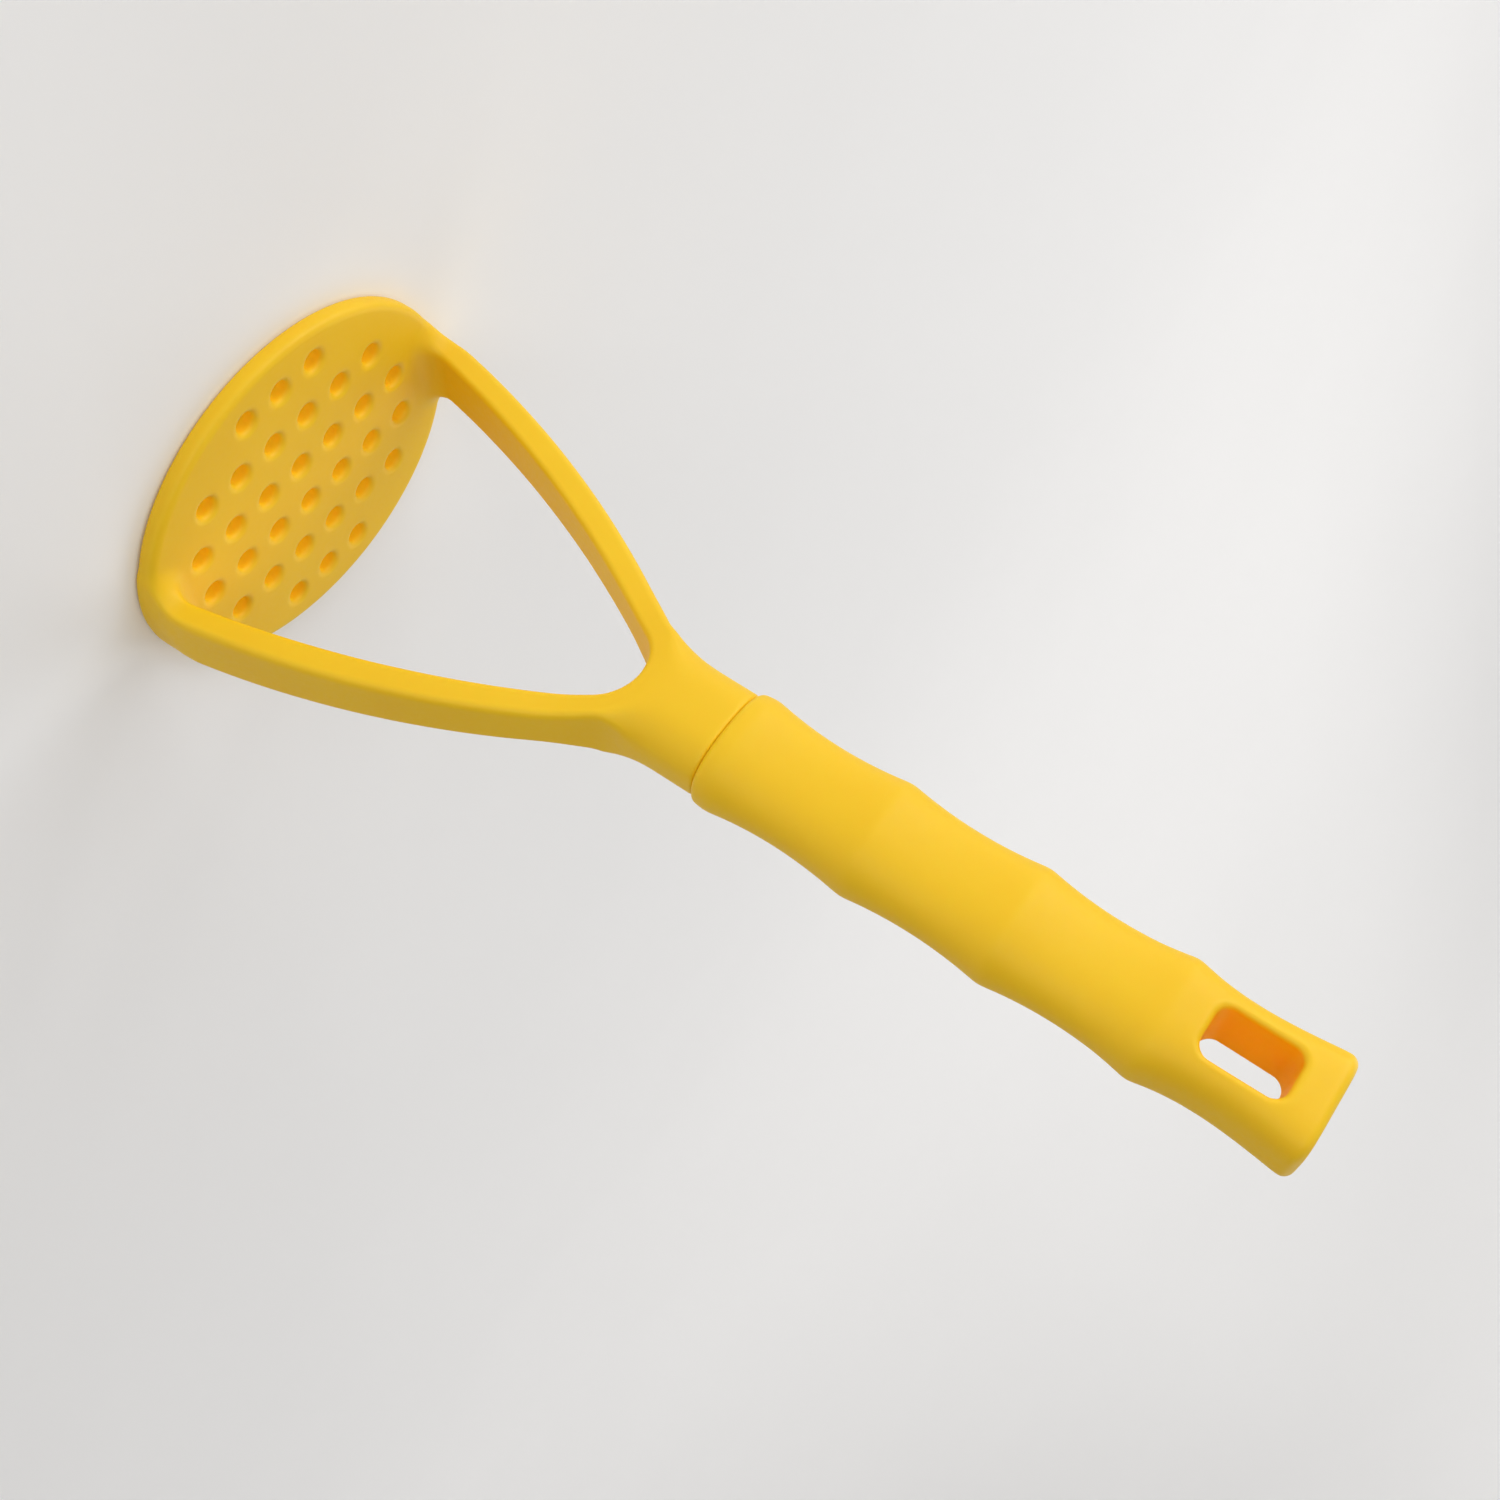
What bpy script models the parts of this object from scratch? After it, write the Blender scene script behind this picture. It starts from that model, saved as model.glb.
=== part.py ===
"""Hand potato masher with a silicone-covered head and a soft-grip handle.

The masher stands on its mashing plate, with the handle straight up. The origin
is at the middle of the plate's underside, +X runs along the plate's long axis
and through both arms, and +Z runs up the handle.

Five pieces: a rigid head core inside a silicone head skin, a rigid handle core
inside a silicone grip, and a steel rod that stiffens the joint between them.
"""

import math

import bmesh
import bpy
from mathutils import Vector

MM = 0.001

# Walls and fits
GAP = 0.3 * MM
SKIN = 0.9 * MM
SLOT_LINING = 1.3 * MM

# Mashing plate: an oval slab, pierced by staggered rows of round holes
PLATE_THICKNESS = 4.6 * MM
PLATE_HALF_LENGTH = 48.3 * MM
PLATE_HALF_WIDTH = 41.7 * MM
PLATE_TOP_ROUND = 1.8 * MM
PLATE_BOTTOM_ROUND = 1.3 * MM
PLATE_SIDES = 64
HOLE_RADIUS = 2.95 * MM
HOLE_PITCH = 10.7 * MM
ROW_PITCH = 12.6 * MM
ROW_COUNTS = (3, 6, 7, 7, 6, 3)
HOLE_SIDES = 10
DRILL_OVERSHOOT = 1.2 * MM

# Arms: a bowed strap on each side, drawn in the XZ plane for the +X arm
ARM_FOOT_HALF_DEPTH = 8.1 * MM
ARM_TOP_HALF_DEPTH = 6.15 * MM
ARM_TOP_Z = 80.0 * MM
ARM_EDGE_ROUND = 1.6 * MM
OUTER_BOW_CENTRE = (-184.4 * MM, -31.2 * MM)
OUTER_BOW_RADIUS = 236.8 * MM
INNER_BOW_CENTRE = (-222.7 * MM, -46.1 * MM)
INNER_BOW_RADIUS = 271.1 * MM
ARM_FOOT_Z = 2.3 * MM
CROTCH_RADIUS = 10.8 * MM
SHOULDER_RADIUS = 13.8 * MM
BOW_STEPS = 10
BEND_STEPS = 5

# Neck: the arms' root, which deepens and rounds off to an oval where it meets the handle
NECK_HALF_WIDTH = 13.0 * MM
NECK_HALF_DEPTH = 9.15 * MM
NECK_POWER = 2.3
NECK_DEEPENS_FROM = 85.8 * MM
NECK_DEEPENS_TO = 107.8 * MM
NECK_TOP = 122.3 * MM
OVAL_SIDES = 32

# Outer limit of the head, as (z, half_x, half_y, power): the plate's oval, then the neck's
HEAD_LIMIT = (
    (-10.0 * MM, 48.3 * MM, 41.7 * MM, 2.0),
    (6.0 * MM, 48.3 * MM, 41.7 * MM, 2.0),
    (40.0 * MM, 52.0 * MM, 36.0 * MM, 2.0),
    (65.0 * MM, 48.0 * MM, 24.0 * MM, NECK_POWER),
    (92.5 * MM, 25.2 * MM, 13.0 * MM, 2.5),
    (98.5 * MM, 18.2 * MM, 10.8 * MM, 2.5),
    (103.0 * MM, 14.3 * MM, 9.9 * MM, 2.5),
    (106.0 * MM, 13.4 * MM, 9.4 * MM, 2.4),
)
NECK_OVAL_FROM = 109.5 * MM

# Tang: the head core's end inside the handle, with two snap ribs
TANG_HALF_WIDTH = 7.0 * MM
TANG_HALF_DEPTH = 5.0 * MM
TANG_LENGTH = 42.0 * MM
TANG_RIB_HEIGHT = 0.7 * MM
TANG_RIB_PLACES = (14.0 * MM, 30.0 * MM)
TANG_RIB_LENGTH = 3.0 * MM
TANG_POWER = 3.0
TANG_SIDES = 24
TANG_OVERLAP = 10.0 * MM

# Steel rod along the middle of the neck, the tang and the handle core
ROD_RADIUS = 2.5 * MM
ROD_BOTTOM = 108.5 * MM
ROD_TOP = 200.0 * MM
ROD_SIDES = 20
ROD_CHAMFER = 0.5 * MM

# Handle: an oval grip with soft ridges, ending in a flared, squarer butt
HANDLE_BOTTOM = NECK_TOP + GAP
HANDLE_TOP = 264.1 * MM
RIDGE_ZS = (126.3 * MM, 160.4 * MM, 193.8 * MM, 228.2 * MM, 261.1 * MM)
RIDGE_HALVES = (14.3 * MM, 14.1 * MM, 14.1 * MM, 14.1 * MM, 13.2 * MM)
WAIST_HALVES = (12.9 * MM, 12.95 * MM, 12.7 * MM, 12.1 * MM)
SCALLOP_STEPS = 6
GRIP_FLATNESS = 0.71
MOUTH_HALF_WIDTH = 13.95 * MM
MOUTH_ROUND = 1.3 * MM
BUTT_POWER = 3.5
BUTT_SQUARES_FROM = 0.7
BUTT_ROUND = 2.2 * MM
CORE_BOTTOM = 126.5 * MM
CORE_TOP = 259.5 * MM
CORE_HALF_WIDTH = 10.4 * MM
CORE_HALF_DEPTH = 7.0 * MM
CORE_POWER = 2.6
CORE_END_ROUND = 2.5 * MM
CAVITY_OVERLAP = 10.0 * MM

# Hanging slot through the handle, front to back, with rounded corners
SLOT_CENTRE_Z = 245.2 * MM
SLOT_HALF_LENGTH = 9.7 * MM
SLOT_HALF_WIDTH = 5.7 * MM
SLOT_CORNER = 3.1 * MM
SLOT_CORNER_STEPS = 4
CUT_REACH = 30.0 * MM

# How far in from its corner the middle of a rounded edge lies, as a share of the radius
ROUND_MIDDLE = 0.3

# Colours are linear
YELLOW_SILICONE = (0.80, 0.47, 0.035)
HEAD_NYLON = (0.62, 0.36, 0.04)
HANDLE_NYLON = (0.70, 0.66, 0.58)
STEEL = (0.56, 0.57, 0.58)


def clear_scene():
    for item in list(bpy.data.objects):
        bpy.data.objects.remove(item, do_unlink=True)


def make_material(name, colour, roughness, metallic=0.0):
    material = bpy.data.materials.new(name)
    material.use_nodes = True
    shader = material.node_tree.nodes["Principled BSDF"]
    shader.inputs["Base Color"].default_value = (*colour, 1.0)
    shader.inputs["Roughness"].default_value = roughness
    shader.inputs["Metallic"].default_value = metallic
    return material


def make_object(name, shape, material=None):
    """Turn a bmesh into a smooth-shaded object. Without a material it is a cutter."""
    bmesh.ops.recalc_face_normals(shape, faces=shape.faces)
    mesh = bpy.data.meshes.new(name)
    shape.to_mesh(mesh)
    shape.free()
    mesh.shade_smooth()
    mesh.set_sharp_from_angle(angle=math.radians(35.0))
    item = bpy.data.objects.new(name, mesh)
    bpy.context.scene.collection.objects.link(item)
    if material is None:
        item.hide_render = True
        item.display_type = "WIRE"
    else:
        mesh.materials.append(material)
    return item


def combine(target, tool, operation):
    modifier = target.modifiers.new(operation.lower(), "BOOLEAN")
    modifier.operation = operation
    modifier.solver = "EXACT"
    modifier.object = tool


def superellipse(half_x, half_y, power, sides):
    """Points round an oval that gets squarer as the power rises above two."""
    points = []
    for index in range(sides):
        angle = math.tau * index / sides
        cosine = math.cos(angle)
        sine = math.sin(angle)
        x = math.copysign(abs(cosine) ** (2.0 / power), cosine) * half_x
        y = math.copysign(abs(sine) ** (2.0 / power), sine) * half_y
        points.append((x, y))
    return points


def loft(stations, sides):
    """Skin a stack of ovals, each given as (z, half_x, half_y, power)."""
    shape = bmesh.new()
    rings = []
    for z, half_x, half_y, power in stations:
        ring = [shape.verts.new((x, y, z)) for x, y in superellipse(half_x, half_y, power, sides)]
        rings.append(ring)
    for lower, upper in zip(rings, rings[1:]):
        for index in range(sides):
            following = (index + 1) % sides
            shape.faces.new((lower[index], lower[following], upper[following], upper[index]))
    shape.faces.new(reversed(rings[0]))
    shape.faces.new(rings[-1])
    return shape


def prism(outline, half_depth, edge_round=0.0):
    """Extrude an XZ outline both ways along Y, and round its two rims."""
    shape = bmesh.new()
    corners = [shape.verts.new((x, -half_depth, z)) for x, z in outline]
    front = shape.faces.new(corners)
    extruded = bmesh.ops.extrude_face_region(shape, geom=[front])
    moved = [item for item in extruded["geom"] if isinstance(item, bmesh.types.BMVert)]
    bmesh.ops.translate(shape, vec=Vector((0.0, 2.0 * half_depth, 0.0)), verts=moved)
    if edge_round > 0.0:
        rims = [edge for edge in shape.edges if abs(edge.verts[0].co.y - edge.verts[1].co.y) < GAP]
        bmesh.ops.bevel(shape, geom=rims, offset=edge_round, segments=2, profile=0.5, affect="EDGES")
    return shape


def arc(centre, radius, start, end, steps):
    """Points along a circle from one angle to another, both included."""
    points = []
    for index in range(steps + 1):
        angle = start + (end - start) * index / steps
        points.append((centre[0] + radius * math.cos(angle), centre[1] + radius * math.sin(angle)))
    return points


def on_bow(centre, angle, radius):
    return (centre[0] + radius * math.cos(angle), centre[1] + radius * math.sin(angle))


def arm_outer_curve(inset):
    """Outer side of the +X arm: up the bow from its foot, and over the shoulder to the neck."""
    centre = OUTER_BOW_CENTRE
    radius = OUTER_BOW_RADIUS - inset
    foot = math.asin((ARM_FOOT_Z - centre[1]) / radius)
    shoulder_x = NECK_HALF_WIDTH + SHOULDER_RADIUS
    reach = OUTER_BOW_RADIUS + SHOULDER_RADIUS
    shoulder_tangent = math.acos((shoulder_x - centre[0]) / reach)
    shoulder = on_bow(centre, shoulder_tangent, reach)
    bow = arc(centre, radius, foot, shoulder_tangent, BOW_STEPS)
    curl = arc(shoulder, SHOULDER_RADIUS + inset, shoulder_tangent - math.pi, -math.pi, BEND_STEPS)
    return bow + curl[1:]


def arm_inner_curve(inset):
    """Inner side of the +X arm, from its foot up to the middle of the crotch."""
    centre = INNER_BOW_CENTRE
    radius = INNER_BOW_RADIUS + inset
    foot = math.asin((ARM_FOOT_Z - centre[1]) / radius)
    reach = INNER_BOW_RADIUS - CROTCH_RADIUS
    crotch_tangent = math.acos(-centre[0] / reach)
    crotch = on_bow(centre, crotch_tangent, reach)
    bow = arc(centre, radius, foot, crotch_tangent, BOW_STEPS)
    bend = arc(crotch, CROTCH_RADIUS + inset, crotch_tangent, math.pi / 2.0, BEND_STEPS)
    return bow + bend[1:]


def mirrored(points):
    return [(-x, z) for x, z in points]


def wishbone(inset, top):
    """Both arms and the neck as one strap, its surface moved inwards by the inset."""
    outer = arm_outer_curve(inset)
    outer.append((outer[-1][0], top))
    inner = arm_inner_curve(inset)
    outline = outer + mirrored(outer)[::-1] + mirrored(inner) + inner[-2::-1]
    shape = prism(outline, ARM_FOOT_HALF_DEPTH - inset, ARM_EDGE_ROUND - inset)
    bmesh.ops.triangulate(shape, faces=shape.faces)
    for vertex in shape.verts:
        vertex.co.y *= (head_half_depth(vertex.co.z) - inset) / (ARM_FOOT_HALF_DEPTH - inset)
    return shape


def head_half_depth(z):
    """Half depth of the arms, which taper upwards, and of the neck, which swells again."""
    taper = (ARM_TOP_HALF_DEPTH - ARM_FOOT_HALF_DEPTH) / ARM_TOP_Z
    arm_depth = ARM_FOOT_HALF_DEPTH + taper * z
    share = (z - NECK_DEEPENS_FROM) / (NECK_DEEPENS_TO - NECK_DEEPENS_FROM)
    share = min(max(share, 0.0), 1.0)
    swell = share * share * (3.0 - 2.0 * share)
    return arm_depth + (NECK_HALF_DEPTH - arm_depth) * swell


def head_envelope(inset, top):
    """A tall form that trims the arms' feet to the plate's oval and their root to the neck's."""
    stations = list(HEAD_LIMIT)
    for z in (NECK_OVAL_FROM, top + CUT_REACH):
        stations.append((z, NECK_HALF_WIDTH, NECK_HALF_DEPTH, NECK_POWER))
    return loft([(z, x - inset, y - inset, power) for z, x, y, power in stations], OVAL_SIDES)


def plate(inset):
    """The oval slab, with its rim rounded over at both faces."""
    low = inset
    high = PLATE_THICKNESS - inset
    stations = []
    for share in (0.0, 0.5, 1.0):
        stations.append(rim_station(share, low, 1.0, PLATE_BOTTOM_ROUND - inset, inset))
    for share in (1.0, 0.5, 0.0):
        stations.append(rim_station(share, high, -1.0, PLATE_TOP_ROUND - inset, inset))
    return loft(stations, PLATE_SIDES)


def rim_station(share, face_z, away, edge, inset):
    """One ring of the plate's rounded rim: at its face for share 0, at full size for share 1."""
    angle = share * math.pi / 2.0
    z = face_z + away * edge * (1.0 - math.cos(angle))
    back = inset + edge * (1.0 - math.sin(angle))
    return (z, PLATE_HALF_LENGTH - back, PLATE_HALF_WIDTH - back, 2.0)


def plate_drill(radius):
    """One cylinder through the plate for every hole."""
    shape = bmesh.new()
    circle = superellipse(radius, radius, 2.0, HOLE_SIDES)
    for row, count in enumerate(ROW_COUNTS):
        y = (row - (len(ROW_COUNTS) - 1) / 2.0) * ROW_PITCH
        for place in range(count):
            x = (place - (count - 1) / 2.0) * HOLE_PITCH
            corners = [shape.verts.new((x + dx, y + dy, -DRILL_OVERSHOOT)) for dx, dy in circle]
            extruded = bmesh.ops.extrude_face_region(shape, geom=[shape.faces.new(corners)])
            moved = [item for item in extruded["geom"] if isinstance(item, bmesh.types.BMVert)]
            lift = Vector((0.0, 0.0, PLATE_THICKNESS + 2.0 * DRILL_OVERSHOOT))
            bmesh.ops.translate(shape, vec=lift, verts=moved)
    return shape


def head_form(name, inset, top, material=None):
    """The head's outer shape moved inwards by the inset, with its holes widened to match."""
    form = make_object(name, wishbone(inset, top), material)
    envelope = make_object(name + "_envelope", head_envelope(inset, top))
    slab = make_object(name + "_slab", plate(inset))
    drill = make_object(name + "_drill", plate_drill(HOLE_RADIUS + inset))
    combine(form, envelope, "INTERSECT")
    combine(form, slab, "UNION")
    combine(form, drill, "DIFFERENCE")
    return form


def tang(clearance, bottom):
    """The tang with its snap ribs, grown by the clearance for the socket that takes it."""
    stations = [(bottom, 0.0)]
    for place in TANG_RIB_PLACES:
        middle = NECK_TOP + place
        half = TANG_RIB_LENGTH / 2.0
        stations += [(middle - half, 0.0), (middle, TANG_RIB_HEIGHT), (middle + half, 0.0)]
    stations.append((NECK_TOP + TANG_LENGTH + clearance, 0.0))
    rings = []
    for z, rib in stations:
        half_x = TANG_HALF_WIDTH + rib + clearance
        half_y = TANG_HALF_DEPTH + rib + clearance
        rings.append((z, half_x, half_y, TANG_POWER))
    return loft(rings, TANG_SIDES)


def rod(clearance):
    """The steel rod with chamfered ends, grown by the clearance for the bores that take it."""
    radius = ROD_RADIUS + clearance
    tip = radius - ROD_CHAMFER
    bottom = ROD_BOTTOM - clearance
    top = ROD_TOP + clearance
    stations = (
        (bottom, tip, tip, 2.0),
        (bottom + ROD_CHAMFER, radius, radius, 2.0),
        (top - ROD_CHAMFER, radius, radius, 2.0),
        (top, tip, tip, 2.0),
    )
    return loft(stations, ROD_SIDES)


def handle_core_form(clearance, bottom):
    """The handle core's outer shape, grown by the clearance for the grip's cavity."""
    top = CORE_TOP + clearance
    half_x = CORE_HALF_WIDTH + clearance
    half_y = CORE_HALF_DEPTH + clearance
    middle = CORE_END_ROUND * ROUND_MIDDLE
    stations = (
        (bottom, half_x, half_y, CORE_POWER),
        (top - CORE_END_ROUND, half_x, half_y, CORE_POWER),
        (top - middle, half_x - middle, half_y - middle, CORE_POWER),
        (top, half_x - CORE_END_ROUND, half_y - CORE_END_ROUND, CORE_POWER),
    )
    return loft(stations, OVAL_SIDES)


def slot_form(growth):
    """The hanging slot as a prism with rounded corners, grown all round."""
    across = SLOT_HALF_WIDTH - SLOT_CORNER
    along = SLOT_HALF_LENGTH - SLOT_CORNER
    outline = []
    for quarter, (side, end) in enumerate(((1.0, 1.0), (-1.0, 1.0), (-1.0, -1.0), (1.0, -1.0))):
        centre = (side * across, SLOT_CENTRE_Z + end * along)
        start = quarter * math.pi / 2.0
        outline += arc(centre, SLOT_CORNER + growth, start, start + math.pi / 2.0, SLOT_CORNER_STEPS)
    return prism(outline, CUT_REACH)


def mouth_stations():
    """The grip's rounded lower end, beside the neck."""
    half_depth = MOUTH_HALF_WIDTH * GRIP_FLATNESS
    stations = []
    for up, back in ((0.0, 1.0), (ROUND_MIDDLE, ROUND_MIDDLE), (1.0, 0.0)):
        z = HANDLE_BOTTOM + MOUTH_ROUND * up
        trim = MOUTH_ROUND * back
        stations.append((z, MOUTH_HALF_WIDTH - trim, half_depth - trim, NECK_POWER))
    return stations


def butt_stations():
    """The grip's rounded upper end."""
    end = RIDGE_HALVES[-1]
    stations = [(RIDGE_ZS[-1], end, end * GRIP_FLATNESS, BUTT_POWER)]
    for share in (0.5, 1.0):
        angle = share * math.pi / 2.0
        z = RIDGE_ZS[-1] + (HANDLE_TOP - RIDGE_ZS[-1]) * math.sin(angle)
        back = BUTT_ROUND * (1.0 - math.cos(angle))
        stations.append((z, end - back, end * GRIP_FLATNESS - back, BUTT_POWER))
    return stations


def scallop_stations():
    """The grip between its ends: a shallow scallop from each ridge to the next."""
    stations = []
    for index, (waist, ridge) in enumerate(zip(WAIST_HALVES, RIDGE_ZS)):
        next_ridge = RIDGE_ZS[index + 1]
        for step in range(SCALLOP_STEPS):
            share = step / SCALLOP_STEPS
            crest = RIDGE_HALVES[index] + (RIDGE_HALVES[index + 1] - RIDGE_HALVES[index]) * share
            half = waist + (crest - waist) * (2.0 * share - 1.0) ** 2
            height_share = (index + share) / len(WAIST_HALVES)
            squareness = max((height_share - BUTT_SQUARES_FROM) / (1.0 - BUTT_SQUARES_FROM), 0.0)
            power = NECK_POWER + (BUTT_POWER - NECK_POWER) * squareness
            stations.append((ridge + (next_ridge - ridge) * share, half, half * GRIP_FLATNESS, power))
    return stations


def build_head_skin(material):
    """Silicone over the whole head, hollow for the core and open at the neck's end."""
    skin = head_form("head_skin", 0.0, NECK_TOP, material)
    cavity = head_form("head_cavity", SKIN, NECK_TOP + CUT_REACH)
    combine(skin, cavity, "DIFFERENCE")


def build_head_core(material):
    """Rigid plate, arms and neck under the skin, with the tang that enters the handle."""
    core = head_form("head_core", SKIN + GAP, NECK_TOP, material)
    stem = make_object("head_core_tang", tang(0.0, NECK_TOP - TANG_OVERLAP))
    bore = make_object("head_core_bore", rod(GAP))
    combine(core, stem, "UNION")
    combine(core, bore, "DIFFERENCE")


def build_steel_rod(material):
    make_object("steel_rod", rod(0.0), material)


def build_handle_core(material):
    """Rigid inner handle, with a socket for the tang, a bore for the rod and the slot's eye."""
    core = make_object("handle_core", handle_core_form(0.0, CORE_BOTTOM), material)
    socket = make_object("handle_core_socket", tang(GAP, CORE_BOTTOM - TANG_OVERLAP))
    bore = make_object("handle_core_bore", rod(GAP))
    eye = make_object("handle_core_eye", slot_form(SLOT_LINING + GAP))
    combine(core, socket, "DIFFERENCE")
    combine(core, bore, "DIFFERENCE")
    combine(core, eye, "DIFFERENCE")


def build_handle_grip(material):
    """Soft sleeve over the handle core, closed at the butt and lining the slot."""
    stations = mouth_stations() + scallop_stations() + butt_stations()
    grip = make_object("handle_grip", loft(stations, OVAL_SIDES), material)
    cavity = make_object("grip_cavity", handle_core_form(GAP, HANDLE_BOTTOM - CAVITY_OVERLAP))
    lining = make_object("grip_lining", slot_form(SLOT_LINING))
    slot = make_object("grip_slot", slot_form(0.0))
    combine(cavity, lining, "DIFFERENCE")
    combine(grip, cavity, "DIFFERENCE")
    combine(grip, slot, "DIFFERENCE")


def main():
    clear_scene()
    build_head_skin(make_material("head_silicone", YELLOW_SILICONE, 0.55))
    build_head_core(make_material("head_nylon", HEAD_NYLON, 0.45))
    build_steel_rod(make_material("rod_steel", STEEL, 0.3, 1.0))
    build_handle_core(make_material("handle_nylon", HANDLE_NYLON, 0.5))
    build_handle_grip(make_material("grip_silicone", YELLOW_SILICONE, 0.55))


main()
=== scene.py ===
import math

import bpy
import numpy as np
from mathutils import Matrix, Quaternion, Vector


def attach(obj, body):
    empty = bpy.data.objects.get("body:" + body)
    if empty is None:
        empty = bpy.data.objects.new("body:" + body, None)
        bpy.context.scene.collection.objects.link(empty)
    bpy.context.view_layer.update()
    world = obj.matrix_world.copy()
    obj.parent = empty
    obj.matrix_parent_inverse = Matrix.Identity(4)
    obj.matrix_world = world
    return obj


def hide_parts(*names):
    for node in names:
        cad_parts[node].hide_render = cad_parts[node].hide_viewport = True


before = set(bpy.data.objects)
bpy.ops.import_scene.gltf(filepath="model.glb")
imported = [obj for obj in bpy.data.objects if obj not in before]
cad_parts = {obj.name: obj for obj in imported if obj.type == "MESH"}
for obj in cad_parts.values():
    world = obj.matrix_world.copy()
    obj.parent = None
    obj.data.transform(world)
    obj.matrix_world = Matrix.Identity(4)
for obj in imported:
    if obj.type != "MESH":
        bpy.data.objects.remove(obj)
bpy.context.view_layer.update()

# The masher's lengths are in millimetres and are turned into metres when its meshes are made.
# The backdrop, the lights and the camera are in metres.
MM = 0.001
FAR = 1000.0
TINY = 1e-6

# Masher plate.
PLATE_THICKNESS = 4.6
PLATE_HALF_LENGTH = 48.3
PLATE_HALF_WIDTH = 41.7
PLATE_TOP_ROUND = 1.9
PLATE_BOTTOM_ROUND = 1.3
HOLE_RADIUS = 2.55
HOLE_LIP = 1.45
HOLES_BELOW_Z = 10.0
HOLE_PITCH = 10.7
ROW_PITCH = 12.6
ROW_COUNTS = (3, 6, 7, 7, 6, 3)
# Depths over which a hole's wall and the slot's wall turn to the warm colour of a painted glow, which
# stands in for light passing through the silicone.
HOLE_WARM_FROM = 0.4
HOLE_WARM_OVER = 3.0
HOLE_WARM_ABOVE_Z = 0.2
SLOT_WARM_FROM = 0.85
SLOT_WARM_OVER = 1.0

# Wishbone arms, each between two large circles, and the neck that they run into.
OUTER_BOW_CENTRE = (-184.4, -31.2)
OUTER_BOW_RADIUS = 236.8
INNER_BOW_CENTRE = (-222.7, -46.1)
INNER_BOW_RADIUS = 271.1
ARM_FOOT_HALF_DEPTH = 8.1
ARM_TOP_HALF_DEPTH = 6.15
ARM_TOP_Z = 80.0
ARM_OUTER_ROUND = 1.7
ARM_INNER_ROUND = 1.25
CROTCH_RADIUS = 10.8
SHOULDER_RADIUS = 13.8
FOOT_FILLET = 7.0
NECK_HALF_WIDTH = 13.0
NECK_HALF_DEPTH = 9.15
NECK_POWER = 2.3
NECK_TOP = 122.42
NECK_END_ROUND = 0.5
DEEPEN_FROM = 85.8
DEEPEN_TO = 107.8
# Heights, half widths, half depths and squareness of the smooth outer envelope.
ENVELOPE = (
    (-10.0, 48.5, 41.95, 2.0),
    (6.0, 48.5, 41.95, 2.0),
    (40.0, 52.0, 36.0, 2.0),
    (65.0, 48.0, 24.0, 2.3),
    (92.5, 25.0, 12.6, 2.5),
    (98.5, 17.6, 10.3, 2.5),
    (103.0, 14.3, 9.7, 2.45),
    (106.0, 13.4, 9.35, 2.4),
    (109.5, 13.05, 9.2, 2.3),
    (160.0, 13.05, 9.2, 2.3),
)
ENVELOPE_EASE = 1.0
ENVELOPE_SOFTNESS = 4.0

# Ridged grip and its hanging slot.
GRIP_BOTTOM = 122.48
GRIP_TOP = 264.15
RIDGE_ZS = (126.3, 160.4, 193.8, 228.2, 261.1)
RIDGE_HALVES = (14.45, 14.3, 14.3, 14.25, 13.2)
WAIST_HALVES = (13.0, 13.05, 12.8, 11.85)
# How much each waist is flattened in depth; the last one, round the slot, is thickened instead.
WAIST_FLATTENING = (1.1, 1.1, 1.1, -1.1)
RIDGE_SOFTNESS = 2.0
MOUTH_HALF = 13.95
MOUTH_ROUND = 1.5
BUTT_ROUND = 2.4
BUTT_POWER = 3.5
SQUARER_FROM = 0.7
GRIP_FLATNESS = 0.71
SLOT_CENTRE_Z = 245.8
SLOT_HALF_LENGTH = 9.4
SLOT_HALF_WIDTH = 6.0
SLOT_CORNER = 3.2
SLOT_RIM = 1.6

# Spacing of the profiles and of the two pieces' faces, and limits on how the points settle.
PROFILE_STEP = 0.2
LONGEST_MOVE = 0.5
LEAST_SLOPE = 0.05
EVEN_SHARE = 0.6
HEAD_STEP = 0.6
GRIP_STEP = 0.55
# Strength of the painted glow, an emission in the holes and in the slot that stands in for light passing
# through the silicone.
HEAD_GLOW = 0.21
GRIP_GLOW = 0.03
# How far round a point its bend is measured, and the bend per millimetre that counts as a full edge.
BEND_REACH = 0.9
FULL_BEND = 0.5


def round_max(a, b, radius):
    """Overlap of two solids, with the edge between them rounded off."""
    u = a + radius
    v = b + radius
    return np.minimum(np.maximum(u, v), 0.0) + np.hypot(np.maximum(u, 0.0), np.maximum(v, 0.0)) - radius


def round_min(a, b, radius):
    """Two solids joined, with a fillet in the corner between them."""
    return -round_max(-a, -b, radius)


def soft_max(a, b, width):
    """Overlap of two solids whose sides are nearly parallel, with the crease between them eased."""
    near = np.maximum(width - np.abs(a - b), 0.0) / width
    return np.maximum(a, b) + near * near * width / 4.0


def superellipse(x, y, half_x, half_y, power):
    """How far a point is outside an oval that is squarer than an ellipse above power 2."""
    x = np.maximum(x, TINY)
    share = ((x / half_x) ** power + (y / half_y) ** power) ** (1.0 / power)
    return np.hypot(x, y) * (1.0 - 1.0 / share)


def oval(x, y, half_x, half_y):
    """How far a point is outside an ellipse."""
    x = np.maximum(x, TINY)
    near = np.sqrt((x / half_x) ** 2 + (y / half_y) ** 2)
    slope = np.sqrt((x / half_x**2) ** 2 + (y / half_y**2) ** 2)
    return near * (near - 1.0) / slope


def hole_centres():
    """Places of the plate's holes, in alternating rows."""
    centres = []
    for row, count in enumerate(ROW_COUNTS):
        y = (row - (len(ROW_COUNTS) - 1) / 2.0) * ROW_PITCH
        for place in range(count):
            centres.append(((place - (count - 1) / 2.0) * HOLE_PITCH, y))
    return centres


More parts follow.
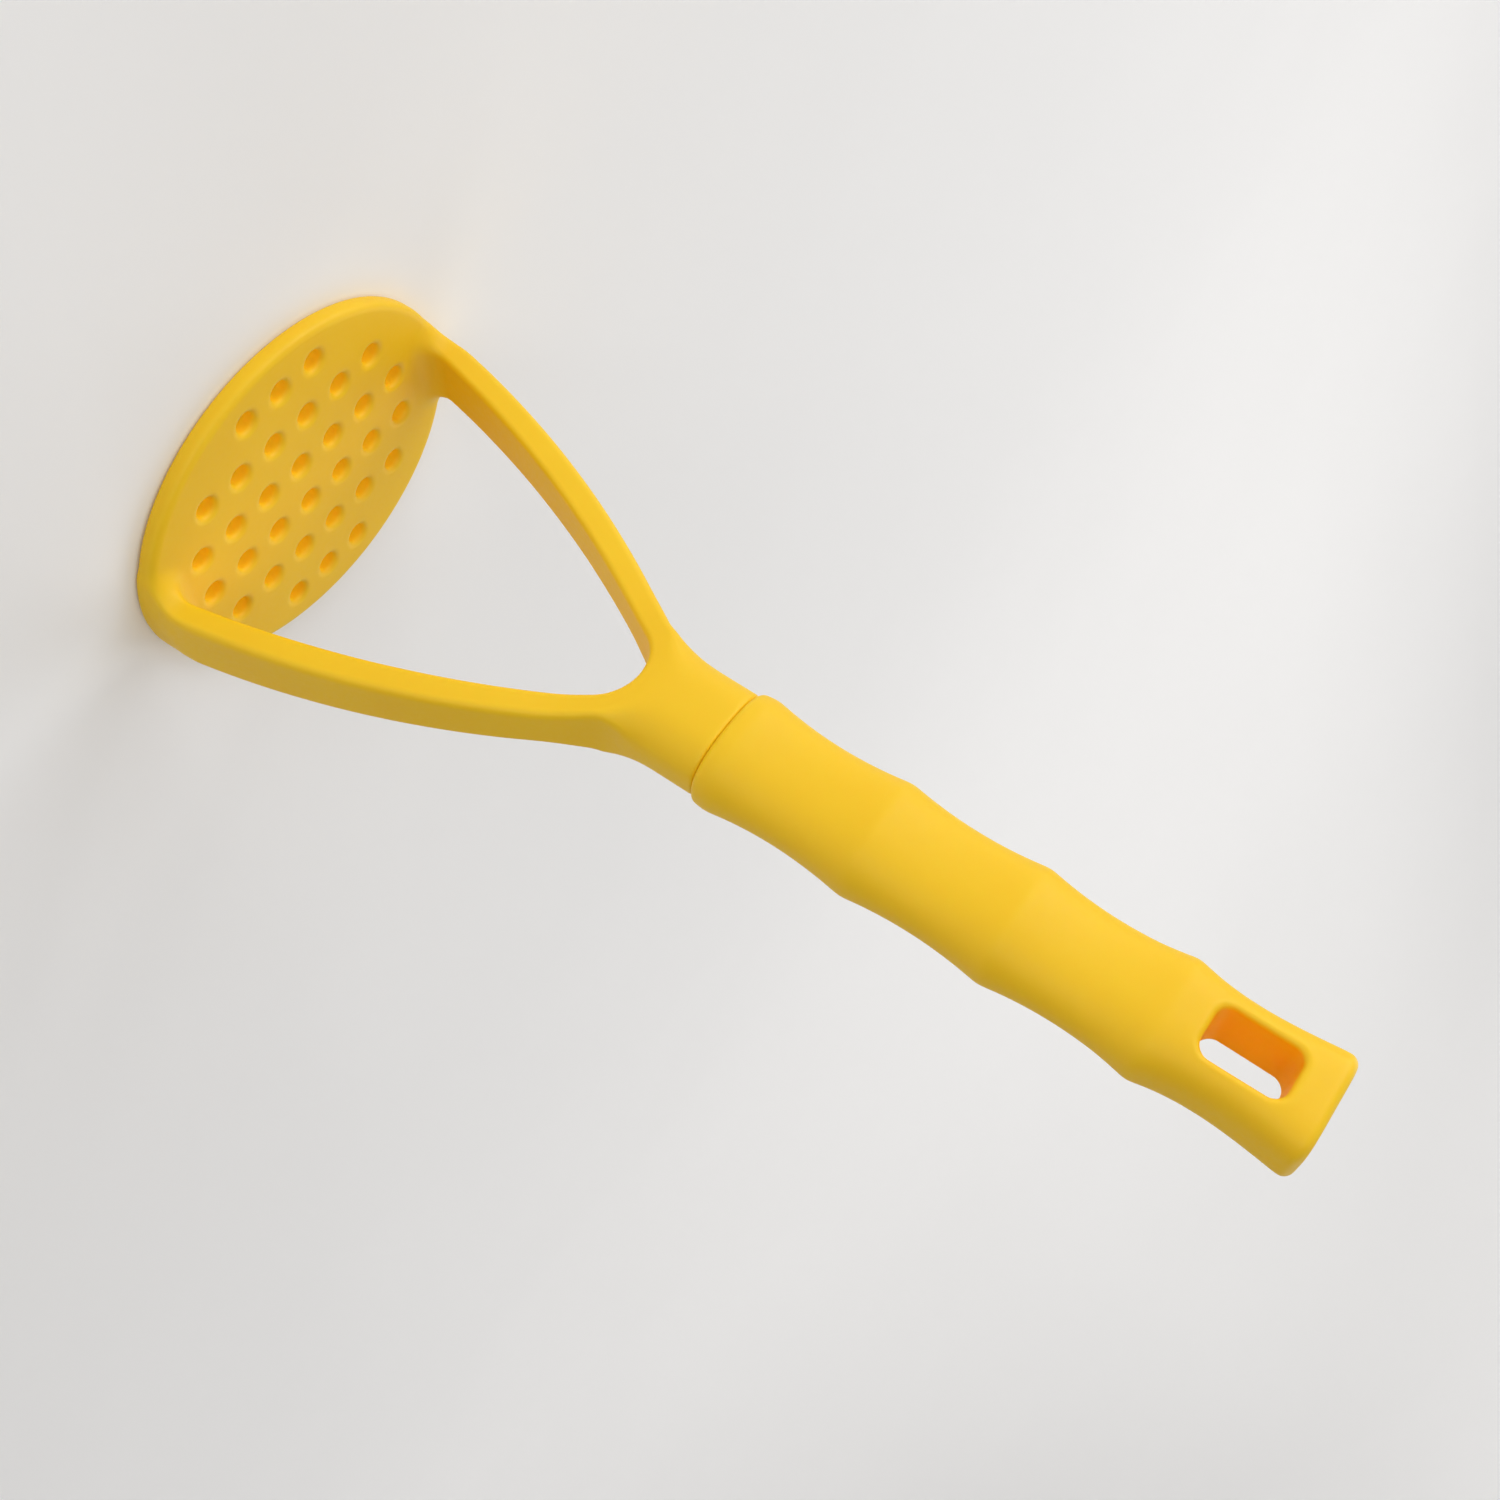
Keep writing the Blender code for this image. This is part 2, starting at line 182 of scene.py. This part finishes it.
def nearest_hole(x, y):
    """Distance from the axis of the nearest hole, for points in the quarter where x and y are positive."""
    best = np.full(np.broadcast(x, y).shape, FAR)
    for cx, cy in hole_centres():
        if cx >= 0.0 and cy >= 0.0:
            best = np.minimum(best, np.hypot(x - cx, y - cy))
    return best


def wishbone(x, z):
    """Outer outline and gap of the two arms and the neck, seen from the front."""
    centre_x, centre_z = OUTER_BOW_CENTRE
    shoulder_x = NECK_HALF_WIDTH + SHOULDER_RADIUS
    reach = shoulder_x - centre_x
    shoulder_z = centre_z + math.sqrt((OUTER_BOW_RADIUS + SHOULDER_RADIUS) ** 2 - reach**2)
    shoulder_angle = math.atan2(shoulder_z - centre_z, reach)
    bow = np.hypot(x - centre_x, z - centre_z) - OUTER_BOW_RADIUS
    shoulder = SHOULDER_RADIUS - np.hypot(x - shoulder_x, z - shoulder_z)
    outer = np.where(np.arctan2(z - centre_z, x - centre_x) < shoulder_angle, bow, shoulder)
    outer = np.where(z > shoulder_z, x - NECK_HALF_WIDTH, outer)

    centre_x, centre_z = INNER_BOW_CENTRE
    crotch_rise = math.sqrt((INNER_BOW_RADIUS - CROTCH_RADIUS) ** 2 - centre_x**2)
    crotch_angle = math.atan2(crotch_rise, -centre_x)
    bow = np.hypot(x - centre_x, z - centre_z) - INNER_BOW_RADIUS
    crotch = np.hypot(x, z - centre_z - crotch_rise) - CROTCH_RADIUS
    gap = np.where(np.arctan2(z - centre_z, x - centre_x) > crotch_angle, crotch, bow)
    return outer, gap


def soften(profile, width):
    """Bell-shaped average along a profile, to ease its corners."""
    offsets = np.arange(-3.0 * width, 3.0 * width, PROFILE_STEP)
    weights = np.exp(-((offsets / width) ** 2) * 2.0)
    margin = len(offsets) // 2
    padded = np.pad(profile, margin, mode="edge")
    padded = np.convolve(padded, weights / weights.sum(), mode="same")
    return padded[margin: margin + len(profile)]


def envelope_table():
    """Half widths, half depths and squareness of the envelope at every height."""
    stations = list(zip(*ENVELOPE))
    heights = np.arange(ENVELOPE[0][0], ENVELOPE[-1][0], PROFILE_STEP)
    soft = [soften(np.interp(heights, stations[0], sizes), ENVELOPE_SOFTNESS) for sizes in stations[1:]]
    return heights, soft


ENVELOPE_HEIGHTS, ENVELOPE_SIZES = envelope_table()


def head_distance(x, y, z):
    """Signed distance from the head's surface, negative inside the silicone."""
    x = np.abs(x)
    y = np.abs(y)
    rim = oval(x, y, PLATE_HALF_LENGTH, PLATE_HALF_WIDTH)
    plate = round_max(rim, z - PLATE_THICKNESS, PLATE_TOP_ROUND)
    plate = round_max(plate, -z, PLATE_BOTTOM_ROUND)

    envelope = superellipse(x, y, *[np.interp(z, ENVELOPE_HEIGHTS, sizes) for sizes in ENVELOPE_SIZES])

    outer, gap = wishbone(x, z)
    swell = np.clip((z - DEEPEN_FROM) / (DEEPEN_TO - DEEPEN_FROM), 0.0, 1.0)
    swell = swell * swell * (3.0 - 2.0 * swell)
    half_depth = ARM_FOOT_HALF_DEPTH + (ARM_TOP_HALF_DEPTH - ARM_FOOT_HALF_DEPTH) * z / ARM_TOP_Z
    half_depth = half_depth + (NECK_HALF_DEPTH - half_depth) * swell
    depth = y - half_depth
    arms = np.maximum(round_max(outer, depth, ARM_OUTER_ROUND), round_max(-gap, depth, ARM_INNER_ROUND))
    arms = np.maximum(arms, PLATE_THICKNESS / 2.0 - z)
    arms = round_max(arms, z - NECK_TOP, NECK_END_ROUND)

    solid = np.maximum(round_min(plate, arms, FOOT_FILLET), -z)
    solid = soft_max(solid, envelope, ENVELOPE_EASE)
    holes = np.where(z < HOLES_BELOW_Z, HOLE_RADIUS - nearest_hole(x, y), -FAR)
    return round_max(solid, holes, HOLE_LIP)


def grip_table():
    """Half widths and half depths up the grip, softened where two scallops meet."""
    heights = np.arange(GRIP_BOTTOM - 8.0, GRIP_TOP + 8.0, PROFILE_STEP)
    halves = np.interp(heights, (GRIP_BOTTOM, RIDGE_ZS[0]), (MOUTH_HALF, RIDGE_HALVES[0]))
    flattening = np.zeros(len(heights))
    for index, waist in enumerate(WAIST_HALVES):
        low, high = RIDGE_ZS[index], RIDGE_ZS[index + 1]
        share = np.clip((heights - low) / (high - low), 0.0, 1.0)
        crest = RIDGE_HALVES[index] + (RIDGE_HALVES[index + 1] - RIDGE_HALVES[index]) * share
        scallop = waist + (crest - waist) * (2.0 * share - 1.0) ** 2
        halves = np.where(heights >= low, scallop, halves)
        flattening += WAIST_FLATTENING[index] * (1.0 - (2.0 * share - 1.0) ** 2)
    depths = halves * GRIP_FLATNESS - flattening
    return heights, soften(halves, RIDGE_SOFTNESS), soften(depths, RIDGE_SOFTNESS)


GRIP_HEIGHTS, GRIP_HALVES, GRIP_DEPTHS = grip_table()


def slot_distance(x, z):
    """Signed distance from the hanging slot's outline, negative inside the slot."""
    across = np.abs(x) - (SLOT_HALF_WIDTH - SLOT_CORNER)
    along = np.abs(z - SLOT_CENTRE_Z) - (SLOT_HALF_LENGTH - SLOT_CORNER)
    corner = np.hypot(np.maximum(across, 0.0), np.maximum(along, 0.0))
    return corner + np.minimum(np.maximum(across, along), 0.0) - SLOT_CORNER


def grip_distance(x, y, z):
    """Signed distance from the grip's surface, negative inside the silicone."""
    x = np.abs(x)
    y = np.abs(y)
    half_x = np.interp(z, GRIP_HEIGHTS, GRIP_HALVES)
    half_y = np.interp(z, GRIP_HEIGHTS, GRIP_DEPTHS)
    share = np.clip((z - RIDGE_ZS[0]) / (RIDGE_ZS[-1] - RIDGE_ZS[0]), 0.0, 1.0)
    squareness = np.clip((share - SQUARER_FROM) / (1.0 - SQUARER_FROM), 0.0, 1.0)
    power = NECK_POWER + (BUTT_POWER - NECK_POWER) * squareness
    side = superellipse(x, y, half_x, half_y, power)
    grip = round_max(side, GRIP_BOTTOM - z, MOUTH_ROUND)
    grip = round_max(grip, z - GRIP_TOP, BUTT_ROUND)
    return round_max(grip, -slot_distance(x, z), SLOT_RIM)


def head_recess(x, y, z):
    """Share of the painted glow: one on the walls of the plate's holes, fading out at their rims."""
    inside = nearest_hole(np.abs(x), np.abs(y)) < HOLE_RADIUS + HOLE_LIP
    warmth = np.clip((PLATE_THICKNESS - HOLE_WARM_FROM - z) / HOLE_WARM_OVER, 0.0, 1.0)
    return np.where(inside & (z > HOLE_WARM_ABOVE_Z), warmth, 0.0)


def grip_recess(x, y, z):
    """Share of the painted glow: one on the walls of the hanging slot, fading out at its rims."""
    depth = np.interp(z, GRIP_HEIGHTS, GRIP_DEPTHS) - np.abs(y)
    warmth = np.clip((depth - SLOT_WARM_FROM) / SLOT_WARM_OVER, 0.0, 1.0)
    return np.where(slot_distance(x, z) < SLOT_RIM, warmth, 0.0)


def surface_net(distance, low, high, step):
    """Mesh of the surface where the distance is zero, as points and four-sided faces."""
    count = [int(math.ceil(high[i] / step)) + 2 for i in (0, 1)]
    xs = (np.arange(count[0]) + 0.5) * step
    ys = (np.arange(count[1]) + 0.5) * step
    zs = np.arange(low[2] - 2.0 * step, high[2] + 2.5 * step, step)
    quarter = distance(xs[:, None, None], ys[None, :, None], zs[None, None, :])
    field = np.concatenate([quarter[::-1], quarter], axis=0)
    field = np.concatenate([field[:, ::-1], field], axis=1)
    xs = np.concatenate([-xs[::-1], xs])
    ys = np.concatenate([-ys[::-1], ys])
    inside = field < 0.0

    corners = [(i, j, k) for i in (0, 1) for j in (0, 1) for k in (0, 1)]
    cells = tuple(n - 1 for n in field.shape)

    def block(array, corner):
        return array[tuple(slice(c, c + n) for c, n in zip(corner, cells))]

    total = sum(block(inside, corner).astype(np.int8) for corner in corners)
    active = (total > 0) & (total < 8)
    number = np.full(cells, -1, np.int64)
    number[active] = np.arange(int(active.sum()))
    where = np.argwhere(active)
    values = {corner: block(field, corner)[active] for corner in corners}
    middle = np.zeros((len(where), 3))
    crossings = np.zeros(len(where))
    for start in corners:
        for axis in range(3):
            if start[axis] == 0:
                end = tuple(1 if i == axis else start[i] for i in range(3))
                a, b = values[start], values[end]
                crosses = (a < 0.0) != (b < 0.0)
                share = np.where(crosses, a / np.where(crosses, a - b, 1.0), 0.0)
                point = np.tile(np.array(start, float), (len(where), 1))
                point[:, axis] += share
                middle += point * crosses[:, None]
                crossings += crosses
    middle = where + middle / crossings[:, None]
    lines = enumerate((xs, ys, zs))
    points = np.stack([np.interp(middle[:, i], np.arange(len(line)), line) for i, line in lines], 1)

    faces = []
    for axis in range(3):
        second, third = (axis + 1) % 3, (axis + 2) % 3
        low_side = inside[tuple(slice(0, -1) if i == axis else slice(1, -1) for i in range(3))]
        high_side = inside[tuple(slice(1, None) if i == axis else slice(1, -1) for i in range(3))]
        changes = np.argwhere(low_side != high_side)
        outward = low_side[tuple(changes.T)]
        base = changes + np.array([0 if i == axis else 1 for i in range(3)])
        ring = []
        for back_second, back_third in ((1, 1), (0, 1), (0, 0), (1, 0)):
            cell = base.copy()
            cell[:, second] -= back_second
            cell[:, third] -= back_third
            ring.append(number[tuple(cell.T)])
        ring = np.stack(ring, 1)
        ring[~outward] = ring[~outward][:, ::-1]
        faces.append(ring)
    return points, np.concatenate(faces)


def gradient(distance, points, step=0.02):
    """Direction and rate in which the distance grows at each point."""
    slopes = []
    for axis in range(3):
        offset = np.zeros(3)
        offset[axis] = step
        ahead = distance(*(points + offset).T)
        behind = distance(*(points - offset).T)
        slopes.append((ahead - behind) / (2.0 * step))
    return np.stack(slopes, 1)


def settle(distance, points, rounds):
    """Moves points straight onto the surface."""
    for _ in range(rounds):
        slope = gradient(distance, points)
        size = np.maximum((slope**2).sum(1), LEAST_SLOPE)
        move = slope * (distance(*points.T) / size)[:, None]
        length = np.linalg.norm(move, axis=1, keepdims=True)
        points = points - move * np.minimum(1.0, LONGEST_MOVE / np.maximum(length, TINY))
    return points


def even_out(distance, points, faces, rounds):
    """Spreads the points evenly along the surface, so that the faces are close to square."""
    ends = np.concatenate([faces[:, [i, (i + 1) % 4]] for i in range(4)])
    neighbours = np.bincount(ends[:, 0], minlength=len(points))
    neighbours = neighbours + np.bincount(ends[:, 1], minlength=len(points))
    for _ in range(rounds):
        total = np.zeros_like(points)
        for axis in range(3):
            total[:, axis] = np.bincount(ends[:, 0], points[ends[:, 1], axis], len(points))
            total[:, axis] += np.bincount(ends[:, 1], points[ends[:, 0], axis], len(points))
        points = points + EVEN_SHARE * (total / neighbours[:, None] - points)
        points = settle(distance, points, 1)
    return settle(distance, points, 2)


def bend_of(distance, points, reach):
    """How sharply the surface turns: above zero on edges, below zero in hollows, per millimetre."""
    total = -6.0 * distance(*points.T)
    for axis in range(3):
        for side in (-1.0, 1.0):
            offset = np.zeros(3)
            offset[axis] = side * reach
            total = total + distance(*(points + offset).T)
    return total / reach**2


def add_values(mesh, name, values):
    """One value a point, for the material to read."""
    mesh.attributes.new(name, "FLOAT", "POINT").data.foreach_set("value", values)


def moulded_piece(name, distance, recess, low, high, step, material):
    """Smooth skin on the surface where the distance is zero, with what its material needs at each point."""
    points, faces = surface_net(distance, low, high, step)
    points = settle(distance, points, 2)
    points = even_out(distance, points, faces, 4)
    mesh = bpy.data.meshes.new(name)
    mesh.from_pydata((points * MM).tolist(), [], faces.tolist())
    mesh.polygons.foreach_set("use_smooth", [True] * len(mesh.polygons))
    bend = bend_of(distance, points, BEND_REACH) / FULL_BEND
    # Sharp edges: painted lighter by the material as a highlight, and made smoother.
    add_values(mesh, "edge", np.clip(bend, 0.0, 1.0))
    # Hollows: painted with shade by the material.
    add_values(mesh, "hollow_shade", np.clip(-bend, 0.0, 1.0))
    # Walls of holes and slot: painted with a warm glow by the material.
    add_values(mesh, "recess", recess(*points.T))
    piece = bpy.data.objects.new(name, mesh)
    bpy.context.scene.collection.objects.link(piece)
    mesh.materials.append(material)
    return piece


def new_material(name, **sockets):
    """A Principled material with plain values on its own sockets."""
    material = bpy.data.materials.new(name)
    material.use_nodes = True
    tree = material.node_tree
    shader = next(node for node in tree.nodes if node.type == "BSDF_PRINCIPLED")
    for socket, value in sockets.items():
        shader.inputs[socket.replace("_", " ")].default_value = value
    return material, tree, shader


def add_noise(tree, scale, detail, roughness):
    """Noise in the piece's own coordinates."""
    place = tree.nodes.get("place")
    if place is None:
        place = tree.nodes.new("ShaderNodeTexCoord")
        place.name = "place"
    noise = tree.nodes.new("ShaderNodeTexNoise")
    noise.inputs["Scale"].default_value = scale
    noise.inputs["Detail"].default_value = detail
    noise.inputs["Roughness"].default_value = roughness
    tree.links.new(place.outputs["Object"], noise.inputs["Vector"])
    return noise.outputs["Fac"]


def grey(value):
    """Plain number as a colour."""
    return (value, value, value, 1.0)


def add_ramp(tree, factor, stops):
    """Colour read off a factor, between two stops."""
    ramp = tree.nodes.new("ShaderNodeValToRGB")
    for element, (position, colour) in zip(ramp.color_ramp.elements, stops):
        element.position = position
        element.color = colour
    tree.links.new(factor, ramp.inputs["Fac"])
    return ramp.outputs["Color"]


def add_mix(tree, factor, first, second):
    """Blend of two colours, each a socket or a plain value."""
    mix = tree.nodes.new("ShaderNodeMix")
    mix.data_type = "RGBA"
    for socket, value in ((mix.inputs[0], factor), (mix.inputs[6], first), (mix.inputs[7], second)):
        if isinstance(value, bpy.types.NodeSocket):
            tree.links.new(value, socket)
        else:
            socket.default_value = value
    return mix.outputs[2]


def add_math(tree, operation, first, second):
    """Result of a sum, each number a socket or a plain value."""
    math_node = tree.nodes.new("ShaderNodeMath")
    math_node.operation = operation
    for socket, value in zip(math_node.inputs, (first, second)):
        if isinstance(value, bpy.types.NodeSocket):
            tree.links.new(value, socket)
        else:
            socket.default_value = value
    return math_node.outputs[0]


def add_bump(tree, shader, height, strength, depth):
    """Fine relief on a material, from a height."""
    bump = tree.nodes.new("ShaderNodeBump")
    bump.inputs["Strength"].default_value = strength
    bump.inputs["Distance"].default_value = depth
    tree.links.new(height, bump.inputs["Height"])
    tree.links.new(bump.outputs["Normal"], shader.inputs["Normal"])


def add_attribute(tree, name):
    """Reads the values that add_values left on a mesh."""
    attribute = tree.nodes.new("ShaderNodeAttribute")
    attribute.attribute_name = name
    return attribute.outputs["Fac"]


def silicone(name, base, deep, edge_highlight, painted_glow_colour, glow):
    """Soft satin silicone: faint clouding, powdery grain, painted shade in hollows, edges rubbed smoother
    and painted lighter as a highlight, and a painted warm glow inside holes, in colour and as emission.
    """
    material, tree, shader = new_material(
        name, IOR=1.41, Subsurface_Scale=0.0025,
        Subsurface_Radius=(1.0, 0.45, 0.12),
    )
    clouds = add_noise(tree, 28.0, 4.0, 0.55)
    specks = add_noise(tree, 900.0, 3.0, 0.6)
    colour = add_ramp(tree, clouds, ((0.3, deep), (0.7, base)))
    # Painted shade: hollows are blended towards the darker tone.
    hollow_shade = add_math(tree, "MULTIPLY", add_attribute(tree, "hollow_shade"), 0.5)
    colour = add_mix(tree, hollow_shade, colour, deep)
    # Painted highlight: sharp edges are tinted lighter in patches; the same mask makes them smoother below,
    # as rubbing does.
    edge_rub_and_highlight = add_math(tree, "MULTIPLY", add_attribute(tree, "edge"), clouds)
    edge_rub_and_highlight = add_math(tree, "MULTIPLY", edge_rub_and_highlight, 0.5)
    colour = add_mix(tree, edge_rub_and_highlight, colour, edge_highlight)
    # Painted glow: the walls of holes and of the slot take a warm colour, standing in for light that passes
    # through the silicone.
    recess = add_attribute(tree, "recess")
    colour = add_mix(tree, recess, colour, painted_glow_colour)
    tree.links.new(colour, shader.inputs["Base Color"])
    depth = add_math(tree, "ADD", add_math(tree, "MULTIPLY", recess, 0.6), 0.15)
    tree.links.new(depth, shader.inputs["Subsurface Weight"])
    # Painted glow: the same walls emit a little warm light, though the silicone is no lamp.
    shader.inputs["Emission Color"].default_value = painted_glow_colour
    tree.links.new(add_math(tree, "MULTIPLY", recess, glow), shader.inputs["Emission Strength"])
    gloss = add_math(tree, "SUBTRACT", 0.55, add_math(tree, "MULTIPLY", recess, 0.5))
    tree.links.new(gloss, shader.inputs["Specular IOR Level"])
    rough = add_ramp(tree, specks, ((0.35, grey(0.50)), (0.65, grey(0.60))))
    rough = add_mix(tree, edge_rub_and_highlight, rough, grey(0.42))
    tree.links.new(rough, shader.inputs["Roughness"])
    grain = add_noise(tree, 3500.0, 2.0, 0.6)
    ripple = add_noise(tree, 160.0, 2.0, 0.5)
    height = add_math(tree, "ADD", grain, add_math(tree, "MULTIPLY", ripple, 2.0))
    add_bump(tree, shader, height, 0.12, 0.00006)
    return material


def nylon(name, base, deep):
    """Rigid moulded nylon: mottled by its glass fibre, with fine mould texture."""
    material, tree, shader = new_material(name, IOR=1.53)
    mottle = add_noise(tree, 120.0, 5.0, 0.6)
    tree.links.new(add_ramp(tree, mottle, ((0.3, deep), (0.7, base))), shader.inputs["Base Color"])
    rough = add_ramp(tree, mottle, ((0.3, grey(0.38)), (0.7, grey(0.52))))
    tree.links.new(rough, shader.inputs["Roughness"])
    add_bump(tree, shader, add_noise(tree, 2200.0, 3.0, 0.6), 0.2, 0.00005)
    return material


def brushed_steel(name):
    """Drawn steel rod, with fine lines along its length."""
    material, tree, shader = new_material(name, Metallic=1.0, IOR=2.5)
    place = tree.nodes.new("ShaderNodeTexCoord")
    stretch = tree.nodes.new("ShaderNodeMapping")
    stretch.inputs["Scale"].default_value = (1.0, 1.0, 0.03)
    tree.links.new(place.outputs["Object"], stretch.inputs["Vector"])
    noise = tree.nodes.new("ShaderNodeTexNoise")
    noise.inputs["Scale"].default_value = 2600.0
    noise.inputs["Detail"].default_value = 4.0
    tree.links.new(stretch.outputs["Vector"], noise.inputs["Vector"])
    lines = noise.outputs["Fac"]
    tone = add_ramp(tree, lines, ((0.3, (0.42, 0.42, 0.43, 1.0)), (0.7, (0.62, 0.62, 0.63, 1.0))))
    tree.links.new(tone, shader.inputs["Base Color"])
    rough = add_ramp(tree, lines, ((0.3, grey(0.34)), (0.7, grey(0.22))))
    tree.links.new(rough, shader.inputs["Roughness"])
    return material


def repaint(node, material):
    """Gives a CAD node its finished material."""
    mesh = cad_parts[node].data
    mesh.materials.clear()
    mesh.materials.append(material)


def build_pieces():
    """The two silicone skins, and finished materials for the three CAD nodes inside them."""
    base = (0.915, 0.568, 0.0045, 1.0)
    deep = (0.895, 0.533, 0.0030, 1.0)
    # Lighter colour painted on sharp edges as a highlight.
    edge_highlight = (0.940, 0.610, 0.0120, 1.0)
    # Colours of the painted warm glow on the walls of the holes and of the slot.
    painted_hole_glow_colour = (0.970, 0.580, 0.0160, 1.0)
    painted_glow_colour = (0.960, 0.430, 0.0010, 1.0)
    head_silicone = silicone("silicone_head", base, deep, edge_highlight, painted_hole_glow_colour, HEAD_GLOW)
    grip_silicone = silicone("silicone_grip", base, deep, edge_highlight, painted_glow_colour, GRIP_GLOW)
    head = moulded_piece(
        "masher_head_skin", head_distance, head_recess,
        (-49.0, -42.5, 0.0), (49.0, 42.5, NECK_TOP), HEAD_STEP, head_silicone,
    )
    grip = moulded_piece(
        "handle_grip_sleeve", grip_distance, grip_recess,
        (-15.0, -11.0, GRIP_BOTTOM), (15.0, 11.0, GRIP_TOP), GRIP_STEP, grip_silicone,
    )
    for piece, node, slot in ((head, "head_skin", "head_silicone"), (grip, "handle_grip", "grip_silicone")):
        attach(piece, "root")
        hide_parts(node)
    repaint("head_core", nylon("nylon_head", (0.72, 0.40, 0.03, 1.0), (0.66, 0.35, 0.02, 1.0)))
    repaint("handle_core", nylon("nylon_handle", (0.70, 0.66, 0.58, 1.0), (0.64, 0.60, 0.52, 1.0)))
    repaint("steel_rod", brushed_steel("steel_drawn"))


# The backdrop faces the camera, turned this many degrees from the +Y axis.
BACKDROP_HEADING = 25.8


def build_backdrop():
    """Pale floor that curves up into a backdrop behind the object."""
    front, reach, radius, wall = 3.0, 2.4, 1.6, 4.0
    half_width = 4.0
    below = 0.0001
    outline = [(-front, -below)]
    for step in range(33):
        angle = step / 32.0 * math.pi / 2.0
        rise = radius * (1.0 - math.cos(angle))
        outline.append((reach - radius + radius * math.sin(angle), rise - below))
    outline.append((reach, wall))
    heading = math.radians(BACKDROP_HEADING)
    along = Vector((-math.sin(heading), math.cos(heading), 0.0))
    side = Vector((math.cos(heading), math.sin(heading), 0.0))
    points = []
    for offset in (-half_width, half_width):
        for distance, height in outline:
            points.append(along * distance + side * offset + Vector((0.0, 0.0, height)))
    count = len(outline)
    faces = [(i, i + 1, count + i + 1, count + i) for i in range(count - 1)]
    mesh = bpy.data.meshes.new("backdrop")
    mesh.from_pydata(points, [], faces)
    mesh.polygons.foreach_set("use_smooth", [True] * len(mesh.polygons))
    material, tree, shader = new_material("backdrop_paper", Roughness=0.9)
    tone = add_noise(tree, 3.0, 3.0, 0.5)
    colour = add_ramp(tree, tone, ((0.3, (0.92, 0.91, 0.90, 1.0)), (0.7, (0.94, 0.93, 0.92, 1.0))))
    tree.links.new(colour, shader.inputs["Base Color"])
    mesh.materials.append(material)
    floor = bpy.data.objects.new("backdrop", mesh)
    bpy.context.scene.collection.objects.link(floor)


def add_light(name, place, target, size, power):
    """Round soft light at one place, turned towards another."""
    place = Vector(place)
    data = bpy.data.lights.new(name, "AREA")
    data.shape = "DISK"
    data.size = size
    data.energy = power
    light = bpy.data.objects.new(name, data)
    light.location = place
    light.rotation_mode = "QUATERNION"
    light.rotation_quaternion = (Vector(target) - place).to_track_quat("-Z", "Y")
    bpy.context.scene.collection.objects.link(light)


def build_lights():
    """Soft boxes all round the masher, each given by its heading, its height angle and its power."""
    boxes = (
        ("left", -60.0, 18.0, 8.1),
        ("front_left", -30.0, 22.0, 7.2),
        ("front_right", 32.0, 18.0, 6.1),
        ("back", 160.0, 40.0, 3.4),
        ("top", 0.0, 84.0, 2.5),
        ("back_left", -120.0, 35.0, 4.2),
    )
    middle = Vector((0.0, 0.0, 0.12))
    away, size = 1.6, 1.1
    for name, heading, height, power in boxes:
        heading, height = math.radians(heading), math.radians(height)
        level = math.cos(height)
        way = Vector((math.sin(heading) * level, -math.cos(heading) * level, math.sin(height)))
        add_light(name, middle + way * away, middle, size, power)
    add_light("backdrop_wash", (-0.5, 1.1, 1.7), (-1.1, 2.4, 0.6), 1.2, 8.5)
    world = bpy.data.worlds.new("studio")
    world.use_nodes = True
    ground = world.node_tree.nodes["Background"]
    ground.inputs["Color"].default_value = (1.0, 0.99, 0.98, 1.0)
    ground.inputs["Strength"].default_value = 0.22
    bpy.context.scene.world = world


def build_camera():
    """Camera above and to the right of the masher, rolled so that the handle runs down to the right."""
    data = bpy.data.cameras.new("camera")
    data.lens = 45.77
    data.sensor_width = 36.0
    data.clip_start = 0.01
    data.clip_end = 50.0
    camera = bpy.data.objects.new("camera", data)
    place = Vector((0.1675, -0.3518, 0.2339))
    target = Vector((-0.00120, -0.00191, 0.12761))
    roll = math.radians(-121.97)
    aim = (target - place).normalized()
    camera.location = place
    camera.rotation_mode = "QUATERNION"
    camera.rotation_quaternion = Quaternion(aim, roll) @ aim.to_track_quat("-Z", "Y")
    bpy.context.scene.collection.objects.link(camera)
    bpy.context.scene.camera = camera


bpy.context.scene.view_settings.view_transform = "Standard"
build_pieces()
build_backdrop()
build_lights()
build_camera()
